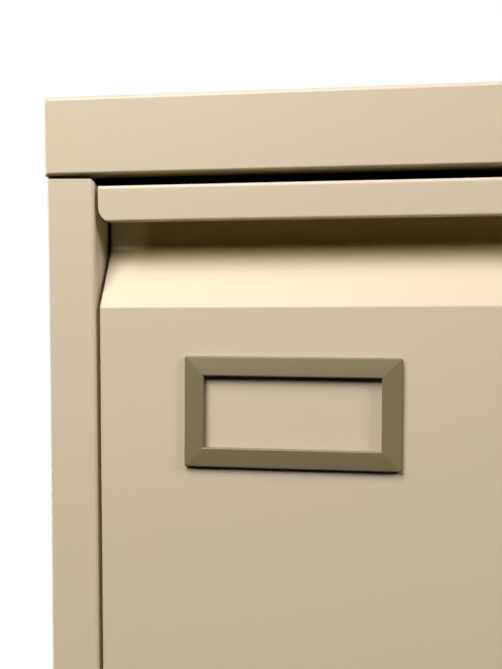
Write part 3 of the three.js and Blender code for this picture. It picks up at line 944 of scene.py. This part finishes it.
def make_lock():
    low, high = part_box("lock_housing")
    centre = Vector(((low.x + high.x) / 2, 0, (low.z + high.z) / 2))
    collar = (high.x - low.x) / 2
    barrel_low, barrel_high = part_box("lock_barrel")
    barrel = (barrel_high.x - barrel_low.x) / 2
    tube = collar - COLLAR_FLANGE
    bore = barrel + PLUG_PLAY
    front = low.y
    seat = front + COLLAR_SEAT
    housing = bmesh.new()
    turned(housing, [
        (circle(bore), high.y), (circle(tube), high.y), (circle(tube), seat),
        (circle(collar - 0.1 * MM), seat), (circle(collar), seat - 0.12 * MM),
        (circle(collar), front + 0.9 * MM), (circle(collar - 0.25 * MM), front + 0.45 * MM),
        (circle(collar - 0.8 * MM), front + 0.12 * MM), (circle(collar - 1.4 * MM), front),
        (circle(bore + 0.5 * MM), front), (circle(bore + 0.15 * MM), front + 0.1 * MM),
        (circle(bore), front + 0.4 * MM),
    ], centre, (0, 1, 0), LOCK_SIDES, closed=True)
    from_shape("lock_collar", housing, "carcass", node="lock_housing", slot="lock_nickel", edge=0)
    plug = bmesh.new()
    face = barrel_low.y
    keyway = slot(0.9 * MM, 3.6 * MM)
    wide_keyway = slot(1.15 * MM, 3.85 * MM)
    turned(plug, [
        (circle(TAIL_RADIUS), barrel_high.y), (circle(TAIL_RADIUS), face + PLUG_LENGTH),
        (circle(barrel), face + PLUG_LENGTH), (circle(barrel), face + 0.5 * MM),
        (circle(barrel - 0.15 * MM), face + 0.15 * MM), (circle(barrel - 0.5 * MM), face),
        (circle(5.2 * MM), face), (circle(5.0 * MM), face + 0.25 * MM), (circle(4.8 * MM), face + 0.25 * MM),
        (wide_keyway, face + 0.25 * MM), (keyway, face + 0.5 * MM), (keyway, face + KEYWAY_DEPTH),
    ], centre, (0, 1, 0), LOCK_SIDES)
    return from_shape("lock_plug", plug, "lock", node="lock_barrel", slot="lock_nickel", edge=0)


lock = make_lock()
print("lock plug faces:", len(lock.data.polygons))

# %% [markdown]
# ## Inside the drawers
# Behind each front stands an inner front, folded over at the top. The tray is one long sheet bent up at
# both sides, with rolled rims that carry hanging files, and beads pressed into its floor so that
# it doesn't sag. A bead is a cosine bump across the sheet that swells up from nothing at its ends.

# %% Fold the inner fronts
def make_inner_front(number):
    node = f"drawer_{number}_inner_front"
    low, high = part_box(node)
    half = SHEET / 2
    plate = low.y + half
    path = bent_path([(plate + 3 * MM, high.z - 9 * MM), (plate + 12 * MM, high.z - 9 * MM, 1 * MM),
                      (plate + 12 * MM, high.z - half, 1.4 * MM), (plate, high.z - half, 1.6 * MM),
                      (plate, low.z)])
    rows = [[(low.x, y, z), (0, y, z), (high.x, y, z)] for y, z in path]
    return sheet(f"{node}_sheet", rows, SHEET, f"drawer_{number}", node=node)


for number in DRAWERS:
    liner = make_inner_front(number)
print("inner front faces:", len(liner.data.polygons))

# %% Fold the trays
RIM_BEND = 0.9 * MM
FLOOR_BEND = 2.5 * MM
RIM_DROP = 13 * MM
BEADS = (-128, -64, 0, 64, 128)
BEAD_HALF_WIDTH = 8 * MM
BEAD_HEIGHT = 2.6 * MM
BEAD_EASE = 14 * MM
BEAD_MARGIN = 34 * MM
BACK_DROP = 20 * MM     # from the rims down to the top of the tray's back
BACK_MARGIN = 1.0 * MM  # between the tray's back and its walls
BACK_LIP = 11 * MM
BACK_FOOT = 12 * MM
BACK_BEND = 1.4 * MM
CATCH_DROP = 112 * MM   # from the top of the drawer's lip down to the catch
CATCH_SETBACK = 9.5 * MM
CATCH_HEIGHT = 12 * MM
CATCH_TAIL = 16 * MM
CATCH_SHEET = 1.2 * MM


def tray_places(start, end):
    """Places along the tray, close together where the beads swell up and die down."""
    ease = [BEAD_MARGIN + BEAD_EASE * step / 6 for step in range(7)]
    return [start] + [start + d for d in ease] + [end - d for d in reversed(ease)] + [end]


def make_tray(number):
    node = f"drawer_{number}_tray"
    low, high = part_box(node)
    half = SHEET / 2
    rim = -low.x - half
    wall = rim - 2 * RIM_BEND
    floor_z = low.z + half
    top = high.z - half
    bead_steps = [(centre * MM + BEAD_HALF_WIDTH * step / 5) for centre in BEADS for step in range(-5, 6)]
    left = bent_path([(-rim, top - RIM_DROP), (-rim, top, RIM_BEND), (-wall, top, RIM_BEND),
                      (-wall, floor_z, FLOOR_BEND), (0, floor_z)])[:-1]
    across = left + [Vector((x, floor_z)) for x in bead_steps] + [Vector((-p.x, p.y)) for p in reversed(left)]
    rows = []
    for y in tray_places(low.y, high.y):
        swell = smooth((min(y - low.y, high.y - y) - BEAD_MARGIN) / BEAD_EASE)
        row = []
        for x, z in across:
            nearest = min(abs(x - centre * MM) for centre in BEADS)
            bead = 0.0
            if abs(z - floor_z) < 1e-7 and nearest < BEAD_HALF_WIDTH:
                bead = BEAD_HEIGHT * (1 + math.cos(math.pi * nearest / BEAD_HALF_WIDTH)) / 2
            row.append((x, y, z + bead * swell))
        rows.append(row)
    body = f"drawer_{number}"
    tray = sheet(f"{node}_sheet", rows, SHEET, body, node=node)
    make_tray_back(node, body, wall, high.y, floor_z, top - BACK_DROP)
    make_catch(node, body, wall, high.x, low.y)
    return tray


def make_tray_back(node, body, wall, end, floor_z, top):
    foot_z = floor_z + 1 * MM
    path = bent_path([(end - BACK_FOOT, foot_z), (end - SHEET, foot_z, BACK_BEND),
                      (end - SHEET, top, BACK_BEND), (end - BACK_LIP, top)])
    rows = [[(x, y, z) for x in (-wall + BACK_MARGIN, 0, wall - BACK_MARGIN)] for y, z in path]
    return sheet(f"{node}_back", rows, SHEET, body)


def make_catch(node, body, wall, reach, tray_start):
    """The bent tab on the right side that the locking bar blocks."""
    catch_z = -CATCH_DROP + lip_top(node)
    plate = tray_start + CATCH_SETBACK
    path = bent_path([(wall + SHEET, plate + CATCH_TAIL), (wall + SHEET, plate, CATCH_SHEET),
                      (reach, plate)])
    rows = [[(x, y, z) for x, y in path] for z in (catch_z, catch_z + CATCH_HEIGHT)]
    return sheet(f"{node}_catch", rows, CATCH_SHEET, body)


def lip_top(node):
    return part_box(node.replace("_tray", "_front"))[1].z


for number in DRAWERS:
    tray = make_tray(number)
print("tray faces:", len(tray.data.polygons))

# %% [markdown]
# ## Balls in the slides
# Each slide is three nested channels with two rows of balls between each pair, held at even
# spacing by a thin cage. A cage runs at half the speed of the channel it follows, so no body fits
# it exactly. It rides on the outer channel of its pair, at a place that stays covered when the drawer is out.

# %% Fill the ball cages
BALL = 1.6 * MM
BALL_PITCH = 18 * MM
CAGE_START = 40 * MM
CAGE_LENGTH = 250 * MM
CAGE_HALF_WIDTH = 2.4 * MM
CAGE_SHEET = 0.5 * MM
RAIL_SHEET = 1.2 * MM


def make_cage(name, outer, inner, body):
    """Balls between two nested channels, whose boxes give the gap."""
    outer_low, outer_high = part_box(outer)
    inner_low, inner_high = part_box(inner)
    centre_z = (outer_low.z + outer_high.z) / 2
    track = (inner_high.z + outer_high.z - RAIL_SHEET) / 2 - centre_z
    x_low = max(outer_low.x, inner_low.x)
    x_high = min(outer_high.x, inner_high.x)
    x = (x_low + x_high) / 2
    start = outer_low.y + CAGE_START
    shape = bmesh.new()
    for level in (-1, 1):
        z = centre_z + level * track
        for number in range(int(CAGE_LENGTH / BALL_PITCH)):
            spot = Vector((x, start + BALL_PITCH * (number + 0.5), z))
            bmesh.ops.create_uvsphere(shape, u_segments=16, v_segments=10, radius=BALL,
                                      matrix=Matrix.Translation(spot))
        add_strip(shape, (x - CAGE_HALF_WIDTH, start, z - CAGE_SHEET / 2),
                  (x + CAGE_HALF_WIDTH, start + CAGE_LENGTH, z + CAGE_SHEET / 2))
    return from_shape(name, shape, body, slot="zinc_steel", edge=0)


def add_strip(shape, low, high):
    """A flat strip with its long edges rolled over, as eight points round its section."""
    roll = CAGE_SHEET * 0.4
    section = [(low[0] + roll, low[2]), (high[0] - roll, low[2]), (high[0], low[2] + roll),
               (high[0], high[2] - roll), (high[0] - roll, high[2]), (low[0] + roll, high[2]),
               (low[0], high[2] - roll), (low[0], low[2] + roll)]
    ends = [[shape.verts.new((x, y, z)) for x, z in section] for y in (low[1], high[1])]
    for c in range(len(section)):
        beside = (c + 1) % len(section)
        shape.faces.new((ends[0][c], ends[0][beside], ends[1][beside], ends[1][c]))
    shape.faces.new(ends[0])
    shape.faces.new(ends[1])


for number in DRAWERS:
    for side in ("left", "right"):
        rail = f"drawer_{number}_{side}"
        make_cage(f"{rail}_outer_balls", f"{rail}_cabinet_rail", f"{rail}_middle_rail", "carcass")
        cage = make_cage(f"{rail}_inner_balls", f"{rail}_middle_rail", f"{rail}_drawer_rail",
                         f"drawer_{number}_middle_rails")
print("cage faces:", len(cage.data.polygons))

# %% [markdown]
# ## Screws of the slides
# Three pan-head screws with cross recesses hold each drawer rail to its tray. They show when a drawer is
# open. Each head is a turned dome with a star-shaped hole.

# %% Drive the screws
SCREW_HEAD = 3.4 * MM
SCREW_PROUD = 1.7 * MM
SCREW_PLACES = (45 * MM, 210 * MM, 480 * MM)


def make_screws(number, side):
    rail = f"drawer_{number}_{side}_drawer_rail"
    low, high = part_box(rail)
    sign = -1 if side == "left" else 1
    web = low.x + RAIL_SHEET if sign > 0 else high.x - RAIL_SHEET
    centre_z = (low.z + high.z) / 2
    shape = bmesh.new()
    profile = [(circle(SCREW_HEAD), 0.05 * MM), (circle(SCREW_HEAD), 0.6 * MM),
               (circle(SCREW_HEAD * 0.86), SCREW_PROUD * 0.75), (circle(SCREW_HEAD * 0.6), SCREW_PROUD),
               (cross(1.5 * MM), SCREW_PROUD), (cross(1.1 * MM), 0.5 * MM)]
    for place in SCREW_PLACES:
        turned(shape, profile, Vector((web, low.y + place, centre_z)), (sign, 0, 0), sides=32)
    return from_shape(f"drawer_{number}_{side}_rail_screws", shape, f"drawer_{number}",
                      slot="zinc_steel", edge=0)


for number in DRAWERS:
    for side in ("left", "right"):
        screws = make_screws(number, side)
print("screw faces:", len(screws.data.polygons))

# %% [markdown]
# ## Floor and light
# The light is one wide soft box, high up in front. It falls straight on the slope of the finger
# recess, rakes down the faces, and leaves the hollow under the lip dark. A far one at the right
# lights the faces that look that way. The boxes behind the front light the sides and the back, and
# a low one with a narrow spread lights only the lower drawers. The floor is a pale disc that
# brightens into the backdrop as it runs away, and it doesn't throw light up into the recess.

# %% Hang the lights
corner = Vector((cap_low.x, cap_low.y, cap_high.z))


def soft_box(name, place, aim, size, watts, colour=(1, 1, 1)):
    data = bpy.data.lights.new(name, "AREA")
    data.shape = "RECTANGLE"
    data.size, data.size_y = size
    data.energy = watts
    data.color = colour
    lamp = new_object(name, data)
    lamp.location = corner + Vector(place)
    lamp.rotation_euler = (Vector(aim) - Vector(place)).to_track_quat("-Z", "Y").to_euler()
    return lamp


soft_box("key", (-0.36, -1.0, 1.08), (0.15, 0, -0.12), (0.9, 1.2), 39.3, (1, 0.98, 0.95))
soft_box("front_right", (3.2, -1.6, 1.8), (0.03, 0, -0.1), (1.0, 1.0), 62)
low_front = soft_box("low_front", (0.25, -2.6, -0.95), (0.25, 0, -1.05), (1.0, 0.4), 1.6)
low_front.data.spread = math.radians(24)
soft_box("left", (-2.0, 0.45, -0.4), (0.0, 0.3, -0.6), (0.8, 1.0), 30)
soft_box("right", (2.47, 0.45, -0.4), (0.47, 0.3, -0.6), (0.8, 1.0), 20)
soft_box("rear_left", (-1.2, 2.4, 0.2), (0.2, 0.3, -0.6), (1.2, 1.2), 30)
soft_box("rear_right", (2.2, 1.9, 0.3), (0.3, 0.3, -0.6), (1.2, 1.2), 45)

# %% Lay the floor
FLOOR_RADIUS = 9.0
FADE_START = 1.1
FADE_END = 2.8
FLOOR_GREY = (0.8, 0.8, 0.79)
BLACK = (0, 0, 0)
WHITE = (1, 1, 1)
floor_mesh = bpy.data.meshes.new("floor")
shape = bmesh.new()
bmesh.ops.create_circle(shape, cap_ends=True, radius=FLOOR_RADIUS, segments=96)
shape.to_mesh(floor_mesh)
shape.free()
floor = new_object("floor", floor_mesh)
floor.visible_diffuse = False
floor.visible_glossy = False
pale = Finish("pale_floor", Roughness=0.8, Emission_Strength=1.0)
from_middle = pale.node("ShaderNodeVectorMath", {"operation": "LENGTH"}, {0: pale.place()},
                        output="Value")
far = pale.node("ShaderNodeMapRange", {"interpolation_type": "SMOOTHSTEP"},
                {"Value": from_middle, "From Min": FADE_START, "From Max": FADE_END})
pale.feed(Base_Color=pale.blend(far, FLOOR_GREY, BLACK),
          Emission_Color=pale.blend(far, BLACK, WHITE))
floor.data.materials.append(pale.material)

# %% A backdrop that is white to the eye and dim to the steel
world = bpy.data.worlds.new("studio")
bpy.context.scene.world = world
world.use_nodes = True
tree = world.node_tree
glow = tree.nodes["Background"]
compass = tree.nodes.new("ShaderNodeTexCoord")
split = tree.nodes.new("ShaderNodeSeparateXYZ")
tree.links.new(compass.outputs["Generated"], split.inputs[0])
fade = tree.nodes.new("ShaderNodeMapRange")
for label, value in (("From Min", -0.3), ("From Max", 0.5), ("To Min", 0.012), ("To Max", 0.28)):
    fade.inputs[label].default_value = value
tree.links.new(split.outputs["Y"], fade.inputs["Value"])
tree.links.new(fade.outputs[0], glow.inputs["Strength"])
backdrop = tree.nodes.new("ShaderNodeBackground")
backdrop.inputs["Color"].default_value = (1, 1, 1, 1)
backdrop.inputs["Strength"].default_value = 1.0
seen = tree.nodes.new("ShaderNodeLightPath")
choice = tree.nodes.new("ShaderNodeMixShader")
tree.links.new(seen.outputs["Is Camera Ray"], choice.inputs[0])
tree.links.new(glow.outputs[0], choice.inputs[1])
tree.links.new(backdrop.outputs[0], choice.inputs[2])
tree.links.new(choice.outputs[0], tree.nodes["World Output"].inputs["Surface"])

scene = bpy.context.scene
scene.view_settings.view_transform = "Standard"
scene.view_settings.look = "None"
print("stage set")
